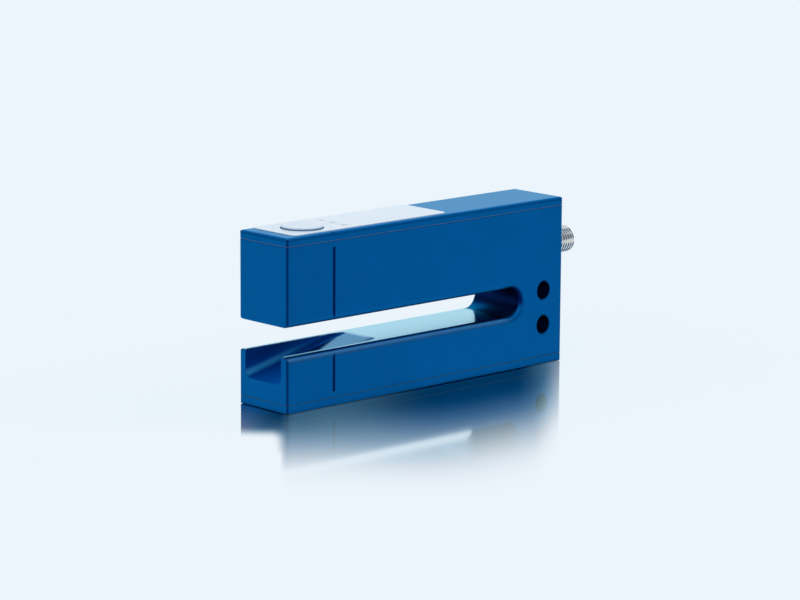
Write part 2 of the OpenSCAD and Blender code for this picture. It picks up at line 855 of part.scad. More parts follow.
// Round nut with two spanner slots
module plug_nut() {
  placed() color("#c4c7c6") difference() {
    turned_plug() turn(upper_rear_x - nut_t, upper_rear_x, shank_r + fit, nut_r);
    translate([upper_rear_x - nut_t - 1, -nut_r, plug_z - nut_slot_w / 2])
      cube([2, 2 * nut_r, nut_slot_w]);
  }
}

module plug_board() {
  placed() color("#1d6b45") difference() {
    turned_plug() turn(plug_board_x, insert_in_x, 0, plug_board_r);
    for (a = pin_angles) translate([plug_board_x - 1, 0, plug_z]) rotate([a, 0, 0])
      translate([0, pin_circle_r, 0]) rotate([0, 90, 0])
        cylinder(d = pin_d + 2 * fit, h = plug_board_t + 2);
  }
}

// Flex strip from the plug's board up to the main board
module plug_flex() {
  start = [plug_board_x, plug_z - plug_board_r + flex_pad + flex_t];
  riser_x = board_end_x - riser_back;
  placed() color("#b9722e")
    strip([start, [riser_x, start[1]], [riser_x, board_z]], flex_t, plug_flex_w);
}

fork_housing();
top_cover();
bottom_cover();
top_seal();
bottom_seal();
label_film();
push_button();
button_ring();
switch_plunger();
push_switch();
main_board();
control_chip();
drive_coil();
capacitors();
light_green();
light_amber();
light_guides();
transmitter_board();
board_screws();
upper_header();
lower_header();
link_ribbon();
transmitter_cup();
transmitter_face();
transmitter_piezo();
transmitter_backing();
transmitter_flex();
receiver_cup();
receiver_face();
receiver_piezo();
receiver_backing();
receiver_flex();
plug_shell();
plug_insert();
plug_pins();
plug_ring();
plug_gasket();
plug_nut();
plug_board();
plug_flex();
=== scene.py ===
"""Looks of an ultrasonic fork sensor: its finishes, its threaded plug and the studio around it.

Lengths are millimetres in the part's own frame, +X towards the plug and +Z up, unless a name ends in _m.
"""

import json
import logging
import math
from collections.abc import Sequence
from dataclasses import dataclass, field
from enum import Enum
from functools import cache
from typing import NamedTuple

import bmesh
import bpy
from mathutils import Matrix, Vector


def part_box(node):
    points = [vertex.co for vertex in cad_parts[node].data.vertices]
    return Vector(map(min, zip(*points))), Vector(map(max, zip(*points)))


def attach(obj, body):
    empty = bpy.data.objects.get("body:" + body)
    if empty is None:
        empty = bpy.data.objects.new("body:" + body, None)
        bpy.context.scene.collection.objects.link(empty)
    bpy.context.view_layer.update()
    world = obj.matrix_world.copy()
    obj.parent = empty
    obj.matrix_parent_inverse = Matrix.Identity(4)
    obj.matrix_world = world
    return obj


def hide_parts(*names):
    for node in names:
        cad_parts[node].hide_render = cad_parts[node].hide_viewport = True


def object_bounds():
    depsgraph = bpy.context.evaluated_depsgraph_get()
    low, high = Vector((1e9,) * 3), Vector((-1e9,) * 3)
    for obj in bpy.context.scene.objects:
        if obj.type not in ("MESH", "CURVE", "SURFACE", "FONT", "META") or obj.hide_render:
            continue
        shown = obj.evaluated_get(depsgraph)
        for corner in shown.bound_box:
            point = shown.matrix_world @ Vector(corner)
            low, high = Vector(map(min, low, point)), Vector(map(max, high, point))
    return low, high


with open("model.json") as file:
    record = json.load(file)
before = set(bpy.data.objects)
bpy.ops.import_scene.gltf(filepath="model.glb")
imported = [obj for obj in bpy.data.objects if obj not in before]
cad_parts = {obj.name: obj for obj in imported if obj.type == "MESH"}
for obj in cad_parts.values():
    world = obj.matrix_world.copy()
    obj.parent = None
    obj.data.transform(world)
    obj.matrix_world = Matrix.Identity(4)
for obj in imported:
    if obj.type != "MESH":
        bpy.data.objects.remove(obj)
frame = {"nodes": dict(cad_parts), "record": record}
CAD_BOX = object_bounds()

MM = 0.001
log = logging.getLogger("fork_sensor")

Rgb = tuple[float, float, float]
Way = tuple[float, float, float]
Span = tuple[float, float]


class Body(Enum):
    """The moving bodies of the sensor."""

    SENSOR = "sensor_body"
    BUTTON = "button"


class Slot(Enum):
    """The record's material slots."""

    ANODISED = "anodised_blue"
    SEAL = "seal"
    LABEL = "label"
    BUTTON = "button"
    RUBBER = "rubber_black"
    PLUNGER = "switch_plunger"
    BLACK = "black_plastic"
    BOARD = "board"
    FERRITE = "ferrite"
    CAN = "can_aluminium"
    GREEN = "light_green"
    AMBER = "light_amber"
    CLEAR = "clear_plastic"
    SCREW = "screw_steel"
    HEADER = "header_plastic"
    RIBBON = "ribbon"
    CUP = "cup_metal"
    MATCHING = "matching_layer"
    PIEZO = "piezo"
    BACKING = "backing"
    FLEX = "flex"
    NICKEL = "nickel"
    GOLD = "gold"


class Axis(Enum):
    """An axis of the frame."""

    X = 0
    Y = 1
    Z = 2


def from_screen(red: float, green: float, blue: float) -> Rgb:
    """Turns a colour as a screen shows it, from 0 to 255, into a linear one from 0 to 1."""
    shares = [c / 255 for c in (red, green, blue)]
    return tuple(s / 12.92 if s <= 0.04045 else ((s + 0.055) / 1.055) ** 2.4 for s in shares)


@cache
def node_box(name: str) -> tuple[Vector, Vector]:
    """Gives the lowest and the highest corner of a CAD node in millimetres."""
    low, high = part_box(name)
    return low / MM, high / MM


def opening_box(name: str) -> tuple[Vector, Vector]:
    """Gives the corners of a stated opening in millimetres.

    Args:
        name: The opening's name in the record.

    Returns:
        The lowest and the highest corner.
    """
    found = next(o for o in frame["record"]["physics"]["openings"] if o["name"] == name)
    low, high = found["box_m"]
    return Vector(low) / MM, Vector(high) / MM


class Value:
    """A number that varies over a surface. Arithmetic on it adds Math nodes."""

    def __init__(self, tree: "Tree", socket: bpy.types.NodeSocket) -> None:
        """Wraps an output socket of a tree."""
        self.tree = tree
        self.socket = socket

    def math(self, operation: str, *terms: "Value | float") -> "Value":
        """Adds a Math node with these inputs, in order, and gives its result."""
        node = self.tree.add("ShaderNodeMath", {"operation": operation}, dict(enumerate(terms)))
        return Value(self.tree, node.outputs[0])

    def __add__(self, other: "Value | float") -> "Value":
        """Adds."""
        return self.math("ADD", self, other)

    def __radd__(self, other: float) -> "Value":
        """Adds to a plain number."""
        return self.math("ADD", other, self)

    def __sub__(self, other: "Value | float") -> "Value":
        """Subtracts."""
        return self.math("SUBTRACT", self, other)

    def __rsub__(self, other: float) -> "Value":
        """Subtracts from a plain number."""
        return self.math("SUBTRACT", other, self)

    def __mul__(self, other: "Value | float") -> "Value":
        """Multiplies."""
        return self.math("MULTIPLY", self, other)

    def __truediv__(self, other: "Value | float") -> "Value":
        """Divides."""
        return self.math("DIVIDE", self, other)

    def __pow__(self, other: "Value | float") -> "Value":
        """Raises to a power."""
        return self.math("POWER", self, other)

    def __abs__(self) -> "Value":
        """Drops the sign."""
        return self.math("ABSOLUTE", self)

    def at_least(self, other: "Value | float") -> "Value":
        """Gives the larger of this and the other."""
        return self.math("MAXIMUM", self, other)

    def rise(self, low: float, high: float) -> "Value":
        """Climbs smoothly from 0 to 1.

        Args:
            low: Where it leaves 0.
            high: Where it reaches 1. It falls instead where this is below low.

        Returns:
            The share, from 0 to 1.
        """
        if high < low:
            return 1 - self.rise(high, low)
        node = self.tree.add(
            "ShaderNodeMapRange",
            {"interpolation_type": "SMOOTHSTEP"},
            {"Value": self, "From Min": low, "From Max": high},
        )
        return Value(self.tree, node.outputs["Result"])

    def within(self, low: float, high: float, soft: float) -> "Value":
        """Masks the range between two values, with a soft step of this width at each end."""
        half = soft / 2
        return self.rise(low - half, low + half) * self.rise(high + half, high - half)


class Point(NamedTuple):
    """The coordinates of a point on a piece in millimetres."""

    x: Value
    y: Value
    z: Value


def length(a: Value, b: Value) -> Value:
    """Gives the length of a vector from its two components."""
    return (a * a + b * b) ** 0.5


class Colour:
    """A colour that varies over a surface. It goes through Mix and Vector Math nodes."""

    def __init__(self, tree: "Tree", source: "bpy.types.NodeSocket | Sequence[float]") -> None:
        """Wraps a colour socket or a plain colour."""
        self.tree = tree
        self.socket = source if isinstance(source, bpy.types.NodeSocket) else tuple(source)

    def four(self) -> "bpy.types.NodeSocket | tuple[float, ...]":
        """Gives the colour as a Mix node takes it."""
        return (*self.socket, 1.0) if isinstance(self.socket, tuple) else self.socket

    def towards(self, other: "Colour | Sequence[float]", share: Value) -> "Colour":
        """Mixes in another colour.

        Args:
            other: The other colour.
            share: How much of it, from 0 to 1.

        Returns:
            The mixed colour.
        """
        other = other if isinstance(other, Colour) else Colour(self.tree, other)
        inputs = {0: share, 6: self.four(), 7: other.four()}
        node = self.tree.add("ShaderNodeMix", {"data_type": "RGBA"}, inputs)
        return Colour(self.tree, node.outputs[2])

    def lit(self, factor: Value) -> "Colour":
        """Scales the colour by a factor that varies.

        Args:
            factor: The factor.

        Returns:
            The scaled colour.
        """
        inputs = {0: self.socket, "Scale": factor}
        node = self.tree.add("ShaderNodeVectorMath", {"operation": "SCALE"}, inputs)
        return Colour(self.tree, node.outputs[0])


class Tree:
    """The nodes of a material or of the world."""

    def __init__(self, owner: bpy.types.Material | bpy.types.World) -> None:
        """Turns the owner's nodes on.

        Args:
            owner: The material or world.
        """
        owner.use_nodes = True
        self.owner = owner
        self.nodes = owner.node_tree.nodes
        self.links = owner.node_tree.links

    def first(self, kind: str) -> bpy.types.Node:
        """Gives the node of a type that the owner starts with."""
        return next(n for n in self.nodes if n.type == kind)

    def rays(self) -> tuple[Value, Value]:
        """Masks two kinds of rays.

        Returns:
            The camera's own rays, and those of reflections and of clear plastic.
        """
        path = self.add("ShaderNodeLightPath")
        direct, glossy, clear = (
            Value(self, path.outputs[f"Is {kind} Ray"]) for kind in ("Camera", "Glossy", "Transmission")
        )
        return direct, glossy.at_least(clear)

    def add(
        self,
        kind: str,
        settings: dict[str, object] | None = None,
        inputs: dict[str | int, object] | None = None,
    ) -> bpy.types.Node:
        """Adds a node.

        Args:
            kind: The node's type.
            settings: Its own settings, which are set first.
            inputs: Values or links of its sockets, by name or number.

        Returns:
            The node.
        """
        node = self.nodes.new(kind)
        for name, value in (settings or {}).items():
            setattr(node, name, value)
        self.fill(node, inputs or {})
        return node

    def fill(self, node: bpy.types.Node, inputs: dict[str | int, object]) -> None:
        """Sets or links sockets of a node.

        Args:
            node: The node.
            inputs: Values or links of its sockets, by name or number.
        """
        for key, value in inputs.items():
            value = value.socket if isinstance(value, (Value, Colour)) else value
            if isinstance(value, bpy.types.NodeSocket):
                self.links.new(value, node.inputs[key])
            else:
                node.inputs[key].default_value = value

    def surface(self, **sockets: object) -> None:
        """Fills the Principled shader.

        Args:
            sockets: Values or links, with the socket's name in lower case and _ for a space.
        """
        shader = self.first("BSDF_PRINCIPLED")
        names = {n.name.lower().replace(" ", "_"): n.name for n in shader.inputs}
        plain = {names[k]: v for k, v in sockets.items()}
        for name, value in plain.items():
            if isinstance(value, tuple) and len(value) == 3:
                plain[name] = (*value, 1.0)
        self.fill(shader, plain)

    def place(self) -> bpy.types.NodeSocket:
        """Gives the point on the piece in millimetres, as a vector."""
        inputs = {0: self.add("ShaderNodeTexCoord").outputs["Object"], "Scale": 1 / MM}
        return self.add("ShaderNodeVectorMath", {"operation": "SCALE"}, inputs).outputs[0]

    def point(self) -> Point:
        """Gives the three coordinates of the point on the piece."""
        node = self.add("ShaderNodeSeparateXYZ", None, {0: self.place()})
        return Point(*(Value(self, out) for out in node.outputs))

    def noise(self, size: float, detail: float = 2.0, stretch: Sequence[float] = (1, 1, 1)) -> Value:
        """Adds a noise pattern.

        Args:
            size: Size of its largest blots.
            detail: Number of finer octaves.
            stretch: How many times longer the blots are along each axis.

        Returns:
            The pattern, from 0 to 1 about 0.5.
        """
        scale = [1 / (size * s) for s in stretch]
        vector = self.add("ShaderNodeVectorMath", {"operation": "MULTIPLY"}, {0: self.place(), 1: scale})
        inputs = {"Vector": vector.outputs[0], "Scale": 1.0, "Detail": detail, "Roughness": 0.5}
        return Value(self, self.add("ShaderNodeTexNoise", None, inputs).outputs[0])

    def bump(self, height: Value, depth: float) -> bpy.types.NodeSocket:
        """Turns a height, from 0 to 1 of the relief's depth, into a normal."""
        inputs = {"Strength": 1.0, "Distance": depth * MM, "Height": height}
        return self.add("ShaderNodeBump", None, inputs).outputs[0]


@dataclass(frozen=True)
class Finish:
    """An even finish with fine mottle and grain, as moulded, cast or coated pieces have."""

    colour: Rgb
    roughness: float
    metallic: float = 0.0
    grain: float = 0.3
    relief: float = 0.004
    mottle: float = 0.08
    satin: float = 0.16
    cloud: float = 30.0

    def build(self, slot: Slot) -> bpy.types.Material:
        """Makes the material.

        Args:
            slot: The record's slot that it dresses.

        Returns:
            The material.
        """
        tree = Tree(bpy.data.materials.new(slot.value))
        self.dress(tree)
        return tree.owner

    def dress(self, tree: Tree) -> None:
        """Fills the material.

        Args:
            tree: The material's nodes.
        """
        speck = tree.noise(self.grain)
        tree.surface(
            base_color=self.plain(tree, speck),
            roughness=self.grained(speck),
            metallic=self.metallic,
            normal=tree.bump(speck, self.relief),
        )

    def plain(self, tree: Tree, speck: Value) -> Colour:
        """Gives the finish's own colour with its mottle."""
        return Colour(tree, self.colour).lit(self.shade(tree, speck))

    def grained(self, speck: Value) -> Value:
        """Varies the roughness with the grain."""
        return self.roughness + (speck - 0.5) * self.satin

    def shade(self, tree: Tree, speck: Value) -> Value:
        """Gives a factor about 1 that varies softly over the piece and finely with its grain."""
        cloud = tree.noise(self.grain * self.cloud, detail=3)
        return 1 + (cloud - 0.5) * (2 * self.mottle) + (speck - 0.5) * self.mottle


@dataclass(frozen=True)
class ForkFaces:
    """Masks that follow the faces and edges of the fork and its covers."""

    # The stated opening stays this far inside the slot
    slot_gap: float = 0.2
    end_gap: float = 0.3
    # The channel, whose floor slopes down from the slot
    channel_half: float = 7.6
    channel_z: float = 8.0
    channel_l: float = 37.5
    channel_r: float = 2.0
    # Edges, and the engraved marks at the sound beam
    edge_r: float = 1.9
    upright_r: float = 0.9
    hole_chamfer: float = 0.5
    mark_back: float = 17.4
    mark_half: float = 0.55
    mark_depth: float = 0.4
    # How far a mask reaches past its face, and the width of its soft step
    skin: float = 0.2
    wall_gap: float = 0.25
    soft: float = 0.1

    @property
    def slot_z(self) -> float:
        """Height of the slot's lower face."""
        return opening_box("fork_slot")[0].z - self.slot_gap

    @property
    def slot_r(self) -> float:
        """Radius of the slot's round end."""
        return (opening_box("fork_slot")[1].z + self.slot_gap - self.slot_z) / 2

    @property
    def slot_end(self) -> float:
        """Place along X of the middle of the slot's round end."""
        return opening_box("fork_slot")[1].x + self.end_gap

    @property
    def open_end(self) -> float:
        """Place along X of the fork's open end."""
        return node_box("fork_housing")[0].x

    @property
    def side(self) -> float:
        """Distance of the fork's side from its middle plane."""
        return node_box("fork_housing")[1].y

    def slot_floor(self, p: Point) -> Value:
        """Masks the slot's flat lower face."""
        flat = p.z.within(self.slot_z - self.skin, self.slot_z + self.skin, self.skin)
        return flat * p.x.rise(self.slot_end, self.slot_end - self.edge_r)

    def slot_round(self, p: Point) -> Value:
        """Masks the wall of the slot's round end and the upper part of its rounded edge.

        Args:
            p: The point on the piece.

        Returns:
            The mask.
        """
        beyond = (p.x - self.slot_end).at_least(0.0)
        lift = p.z - (self.slot_z + self.slot_r)
        past = length(beyond, lift) - self.slot_r
        inside = p.x.rise(self.slot_end - self.slot_r * 1.2, self.slot_end)
        rim = past.rise(self.edge_r * 0.85, self.edge_r * 0.3) * lift.rise(-self.slot_r * 0.6, 0)
        foot = p.z.rise(self.slot_z + self.edge_r * 0.15, self.slot_z + self.edge_r * 1.15)
        wall = past.rise(self.wall_gap + self.soft, self.soft) * foot
        return wall.at_least(rim) * inside

    def channel(self, p: Point) -> Value:
        """Masks the faces of the channel that slopes down from the slot.

        Args:
            p: The point on the piece.

        Returns:
            The mask.
        """
        run = p.x - self.open_end
        wide = abs(p.y).rise(self.channel_half + self.wall_gap, self.channel_half + self.soft / 2)
        tall = p.z.within(self.channel_z - self.wall_gap, self.slot_z - self.soft * 1.5, self.soft)
        return wide * tall * run.within(self.soft, self.channel_l + 1, self.soft)

    def above_ramp(self, p: Point) -> Value:
        """Gives the height of a point above the channel's sloping floor."""
        slope = (self.slot_z - self.channel_z) / self.channel_l
        return p.z - ((p.x - self.open_end) * slope + self.channel_z)

    def fillets(self, p: Point) -> Value:
        """Masks the rounded corners along the channel's sloping floor.

        Args:
            p: The point on the piece.

        Returns:
            The mask.
        """
        radius = self.channel_r
        run = p.x - self.open_end
        wall = self.channel_half
        across = abs(p.y).within(wall - radius * 0.5, wall + self.wall_gap, radius * 0.4)
        lift = self.above_ramp(p).within(radius * 0.2, radius * 1.1, radius * 0.5)
        return across * lift * run.rise(0.05, 0.3) * run.rise(self.channel_l * 0.7, self.channel_l * 0.2)

    def channel_walls(self, p: Point) -> Value:
        """Masks the heights of the channel's upright walls."""
        return self.above_ramp(p).rise(self.channel_r, self.channel_r * 2.5)

    def dim_wall_front(self, p: Point) -> Value:
        """Masks the front stretch of the near wall beside the channel, which gets less painted reflection
        and less coat.
        """
        near = p.y.rise(-self.channel_half + self.skin, -self.channel_half - self.skin)
        return near * (p.x - self.open_end).rise(self.channel_l * 0.75, self.channel_l * 0.3)

    def ramp(self, p: Point) -> Value:
        """Masks the upper stretch of the channel's sloping floor.

        Args:
            p: The point on the piece.

        Returns:
            The mask.
        """
        wide = abs(p.y).rise(self.channel_half - self.channel_r * 0.8, self.channel_half - self.channel_r)
        upper = (p.x - self.open_end).rise(self.channel_l * 0.3, self.channel_l * 0.65)
        return abs(self.above_ramp(p)).rise(self.skin * 2, self.skin * 0.75) * wide * upper

    def holes(self, p: Point) -> Value:
        """Masks the cross holes.

        Args:
            p: The point on the piece.

        Returns:
            The mask.
        """
        mount = next(m for m in frame["record"]["mounts"] if m["name"] == "mounting_holes")
        mid = Vector(mount["pos_m"]) / MM
        radius = mount["dims"]["hole_r_mm"]
        off_z = abs(p.z - mid.z) - mount["dims"]["spacing_y_mm"] / 2
        return length(p.x - mid.x, off_z).rise(radius + self.hole_chamfer * 0.6, radius)

    def sheen_and_wear_edge(self, p: Point) -> Value:
        """Masks the lower arm's rounded edges, which carry a painted highlight and where the web rubs.

        Args:
            p: The point on the piece.

        Returns:
            The mask.
        """
        radius = self.edge_r
        drop = self.slot_z - p.z
        outer = drop.rise(radius * 0.08, radius * 0.35) * drop.rise(radius, radius * 0.4)
        edge = abs(p.y).rise(self.side - radius, self.side - radius * 0.6)
        along = p.x.rise(self.open_end + self.skin, self.open_end + 1)
        return outer * edge * along * p.x.rise(self.slot_end + radius, self.slot_end - radius * 2)

    def marks(self, p: Point) -> Value:
        """Masks the engraved marks at the sound beam.

        Args:
            p: The point on the piece.

        Returns:
            The mask.
        """
        half = self.soft / 2
        off_beam = abs(p.x - self.open_end - self.mark_back)
        across = off_beam.rise(self.mark_half + half, self.mark_half - half)
        depth = self.side - abs(p.y)
        sunk = depth.rise(self.mark_depth * 0.1, self.mark_depth * 0.3)
        sunk = sunk * depth.rise(self.mark_depth * 2.5, self.mark_depth * 2)
        slot_top = self.slot_z + 2 * self.slot_r
        return across * sunk * (1 - p.z.within(self.slot_z - self.edge_r, slot_top + self.edge_r, self.soft))

    def upright_edges(self, p: Point) -> Value:
        """Masks the middle of the four rounded upright edges.

        Args:
            p: The point on the piece.

        Returns:
            The mask.
        """
        low, high = node_box("fork_housing")
        along = abs(p.x - (low.x + high.x) / 2) - ((high.x - low.x) / 2 - self.upright_r)
        across = abs(p.y) - (high.y - self.upright_r)
        crown = along.at_least(0.0) * across.at_least(0.0) * (2 / self.upright_r**2)
        return crown.rise(0.45, 0.95)

    def top_face(self, p: Point) -> Value:
        """Masks the flat top of the upper cover."""
        top = node_box("top_cover")[1].z
        return p.z.rise(top - self.wall_gap, top - self.soft / 2)


@dataclass(frozen=True)
class AnodisedAluminium(Finish):
    """Blasted aluminium, anodised blue and smoother on its machined faces. Painted shade darkens its hollows
    and upright edges; painted light brightens its top, channel, edges and slot floor.
    """

    satin: float = 0.1
    # Painted shade in hollows, a painted dark reflection on upright edges, painted light in the channel, on
    # its fillets and on the top, and how much of each shows
    painted_shade: Rgb = from_screen(0, 22, 76)
    hole_share: float = 0.4
    mark_share: float = 0.5
    wall_share: float = 0.45
    upright_share: float = 0.8
    channel_fill_light: Rgb = from_screen(0, 88, 178)
    fillet_highlight: Rgb = from_screen(60, 170, 225)
    fillet_share: float = 0.8
    top_sheen: Rgb = from_screen(0, 108, 190)
    top_share: float = 0.9
    # A painted highlight on the rounded slot edges, which also stands for wear where the web rubs them, and
    # a painted reflection on the slot's floor, stronger towards the far side
    sheen_and_wear: Rgb = from_screen(76, 136, 192)
    sheen_and_wear_share: float = 0.55
    sheen_and_wear_grain: float = 0.3
    floor_reflection: Rgb = from_screen(170, 188, 224)
    reflection_across: Span = (-10, 6)
    near_reflection: float = 0.3
    far_reflection: float = 0.8
    dim_wall_reflection: float = 0.75
    # The sealed oxide film, which mirrors at a flat angle
    coat: float = 0.01
    top_coat: float = 0.25
    ramp_coat: float = 0.6
    film_across: Span = (-9, -2)
    near_film: float = 0.82
    dim_wall_film: float = 0.6
    coat_roughness: float = 0.12
    coat_ior: float = 1.9
    # Its mirror: bluer at a flat angle, weaker in the channel and sharper where a tool has run
    edge_tint: Rgb = (0.36, 1.0, 1.0)
    channel_matt: float = 0.55
    floor_roughness: float = 0.18
    tool_pitch: float = 0.25
    tool_stretch: float = 60.0
    tool_depth: float = 0.3
    faces: ForkFaces = field(default_factory=ForkFaces)

    def dress(self, tree: Tree) -> None:
        """Fills the material.

        Args:
            tree: The material's nodes.
        """
        p = tree.point()
        faces = self.faces
        speck = tree.noise(self.grain, detail=3)
        tool = tree.noise(self.tool_pitch, stretch=(self.tool_stretch, 1, 1), detail=1)
        floor = faces.slot_floor(p)
        ramp = faces.ramp(p)
        flats = floor.at_least(ramp)
        dim_front = faces.dim_wall_front(p)
        near_film = self.near_film + p.y.rise(*self.film_across) * (1 - self.near_film)
        film = floor * (1 - dim_front * self.dim_wall_film) * near_film
        coat = faces.top_face(p) * (self.top_coat - self.coat) + self.coat
        satin = self.grained(speck)
        tree.surface(
            base_color=self.highlighted_colour(self.shaded_colour(tree, p, speck), p, speck),
            roughness=satin + (self.floor_roughness - satin) * flats,
            metallic=self.metallic - faces.channel(p) * (1 - ramp) * self.channel_matt,
            specular_tint=self.edge_tint,
            specular_ior_level=0.0,
            coat_weight=coat.at_least(film).at_least(ramp * self.ramp_coat),
            coat_roughness=self.coat_roughness,
            coat_ior=self.coat_ior,
            normal=tree.bump(speck * (1 - flats) + tool * flats * self.tool_depth, self.relief),
        )

    def shaded_colour(self, tree: Tree, p: Point, speck: Value) -> Colour:
        """Gives each face's colour, with painted shade in hollows, a painted dark reflection on upright
        edges, and painted light on the top, in the channel and on its fillets.

        Args:
            tree: The material's nodes.
            p: The point on the piece.
            speck: The grain's pattern.

        Returns:
            The colour.
        """
        faces = self.faces
        channel = faces.channel(p) * (1 - faces.ramp(p))
        # Painted shade in the slot's round end, the holes, the engraved marks and on the channel walls, and
        # a painted dark reflection on the upright edges
        shade_mask = faces.slot_round(p).at_least(faces.holes(p) * self.hole_share)
        shade_mask = shade_mask.at_least(faces.marks(p) * self.mark_share)
        shade_mask = shade_mask.at_least(channel * faces.channel_walls(p) * self.wall_share)
        shade_mask = shade_mask.at_least(faces.upright_edges(p) * self.upright_share)
        # Painted highlight: the top face is given a lighter blue
        painted_base = self.plain(tree, speck).towards(self.top_sheen, faces.top_face(p) * self.top_share)
        # Painted fill light: the channel's faces are given a lighter blue
        painted_base = painted_base.towards(self.channel_fill_light, channel)
        # Painted highlight along the channel's fillets
        return painted_base.towards(self.fillet_highlight, faces.fillets(p) * self.fillet_share).towards(self.painted_shade, shade_mask)

    def highlighted_colour(self, painted_base: Colour, p: Point, speck: Value) -> Colour:
        """Adds a painted highlight on the rounded slot edges, which also stands for wear where the web rubs,
        and a painted reflection on the slot's floor.

        Args:
            painted_base: The colour with its painted shade, before the painted highlight and reflection.
            p: The point on the piece.
            speck: The grain's pattern.

        Returns:
            The colour.
        """
        faces = self.faces
        # Painted highlight on the rounded slot edges, also standing for wear where the web rubs
        sheen_and_wear = faces.sheen_and_wear_edge(p) * (self.sheen_and_wear_share + speck * self.sheen_and_wear_grain)
        # Painted reflection of the bright backdrop on the slot's floor, stronger towards the far side and
        # weaker on the near wall's front
        share = self.near_reflection + p.y.rise(*self.reflection_across) * (self.far_reflection - self.near_reflection)
        floor_reflection = faces.slot_floor(p) * share * (1 - faces.dim_wall_front(p) * self.dim_wall_reflection)
        return painted_base.towards(self.sheen_and_wear, sheen_and_wear).towards(self.floor_reflection, floor_reflection)


@dataclass(frozen=True)
class BondedSeal(Finish):
    """Adhesive seal, bluer towards the base."""

    lower: Rgb = from_screen(32, 124, 164)
    # Heights, as shares of the sensor's height, where the bluer lower colour turns into the upper one
    upper_blend: Span = (0.3, 0.7)

    def dress(self, tree: Tree) -> None:
        """Fills the material.

        Args:
            tree: The material's nodes.
        """
        speck = tree.noise(self.grain)
        low, high = (corner.z / MM for corner in CAD_BOX)
        upper = tree.point().z.rise(*(low + (high - low) * share for share in self.upper_blend))
        tree.surface(
            base_color=Colour(tree, self.lower).towards(self.colour, upper).lit(self.shade(tree, speck)),
            roughness=self.grained(speck),
            normal=tree.bump(speck, self.relief),
        )


@dataclass(frozen=True)
class ButtonCap(Finish):
    """Pale plastic cap with painted shade: its wall is painted bluer, and its foot darker for the shadow of
    the gap round it.
    """

    # Painted shade: a bluer wall, and a darker foot for the shadow in the gap round the cap
    wall: Rgb = from_screen(178, 208, 240)
    wall_drop: Span = (0.1, 0.35)
    foot: Rgb = from_screen(84, 122, 148)
    foot_h: float = 0.45

    def dress(self, tree: Tree) -> None:
        """Fills the material.

        Args:
            tree: The material's nodes.
        """
        speck = tree.noise(self.grain)
        z = tree.point().z
        top = node_box("push_button")[1].z
        label = node_box("label_film")[1].z
        wall = z.rise(*(top - drop for drop in self.wall_drop))
        foot = z.rise(label + self.foot_h, label + self.foot_h * 0.5)
        # Painted shade on the wall and painted shadow at the foot
        cap = Colour(tree, self.colour).towards(self.wall, wall).towards(self.foot, foot)
        tree.surface(
            base_color=cap.lit(self.shade(tree, speck)),
            roughness=self.grained(speck),
            normal=tree.bump(speck, self.relief),
        )


@dataclass(frozen=True)
class LabelFilm(Finish):
    """Pale polyester film with printed rings, light windows and a plain row of ticks."""

    satin: float = 0.1
    ink: Rgb = from_screen(120, 138, 158)
    ink_share: float = 0.35
    green: Rgb = from_screen(150, 186, 168)
    amber: Rgb = from_screen(186, 178, 168)
    window_r: Span = (1.25, 1.1)
    window_share: float = 0.7
    window_gloss: float = 0.1
    line: float = 0.25
    soft: float = 0.08
    ring_r: float = 1.7
    bezel_gap: float = 1.3
    ticks: int = 9
    tick_pitch: float = 2.4
    tick_span: Span = (2.2, 4.2)
    first_tick: float = 6.0
    tick_start: float = 0.1
    tick_soft: float = 0.03
    coat: float = 0.15
    coat_roughness: float = 0.15

    def dress(self, tree: Tree) -> None:
        """Fills the material.

        Args:
            tree: The material's nodes.
        """
        p = tree.point()
        speck = tree.noise(self.grain)
        guides_low, guides_high = node_box("light_guides")
        light_x = (guides_low.x + guides_high.x) / 2
        middle_y = (guides_low.y + guides_high.y) / 2
        half_pitch = guides_high.y - (guides_high.x - guides_low.x) / 2 - middle_y

        off_light = length(p.x - light_x, abs(p.y - middle_y) - half_pitch)
        window = off_light.rise(*self.window_r)
        rings = off_light.within(self.ring_r, self.ring_r + self.line, self.soft)
        spot = length(p.x - light_x, p.y - (middle_y + 3 * half_pitch)).rise(*self.window_r)
        print_mask = rings.at_least(self.tick_row(p, light_x)).at_least(self.bezel(p)).at_least(spot)

        inked = self.plain(tree, speck).towards(self.ink, print_mask * self.ink_share)
        tint = Colour(tree, self.green).towards(self.amber, (p.y - middle_y).rise(0.1, -0.1))
        tree.surface(
            base_color=inked.towards(tint, window * self.window_share),
            roughness=self.grained(speck) - window * self.window_gloss,
            normal=tree.bump(speck, self.relief),
            coat_weight=self.coat,
            coat_roughness=self.coat_roughness,
        )

    def tick_row(self, p: Point, light_x: float) -> Value:
        """Masks the row of ticks behind the lights.

        Args:
            p: The point on the piece.
            light_x: Place of the lights along X.

        Returns:
            The mask.
        """
        first = light_x + self.first_tick
        step = p.x.math("FRACT", (p.x - first) / self.tick_pitch)
        row = p.x.within(first, first + self.ticks * self.tick_pitch, 0.05)
        start = self.tick_start
        row = row * step.within(start, start + self.line / self.tick_pitch, self.tick_soft)
        edge = node_box("label_film")[0].y
        return row * p.y.within(*(edge + inset for inset in self.tick_span), self.soft)

    def bezel(self, p: Point) -> Value:
        """Masks the printed ring round the button.

        Args:
            p: The point on the piece.

        Returns:
            The mask.
        """
        low, high = node_box("push_button")
        radius = high.y + self.bezel_gap
        return length(p.x - (low.x + high.x) / 2, p.y).within(radius, radius + self.line, self.soft)


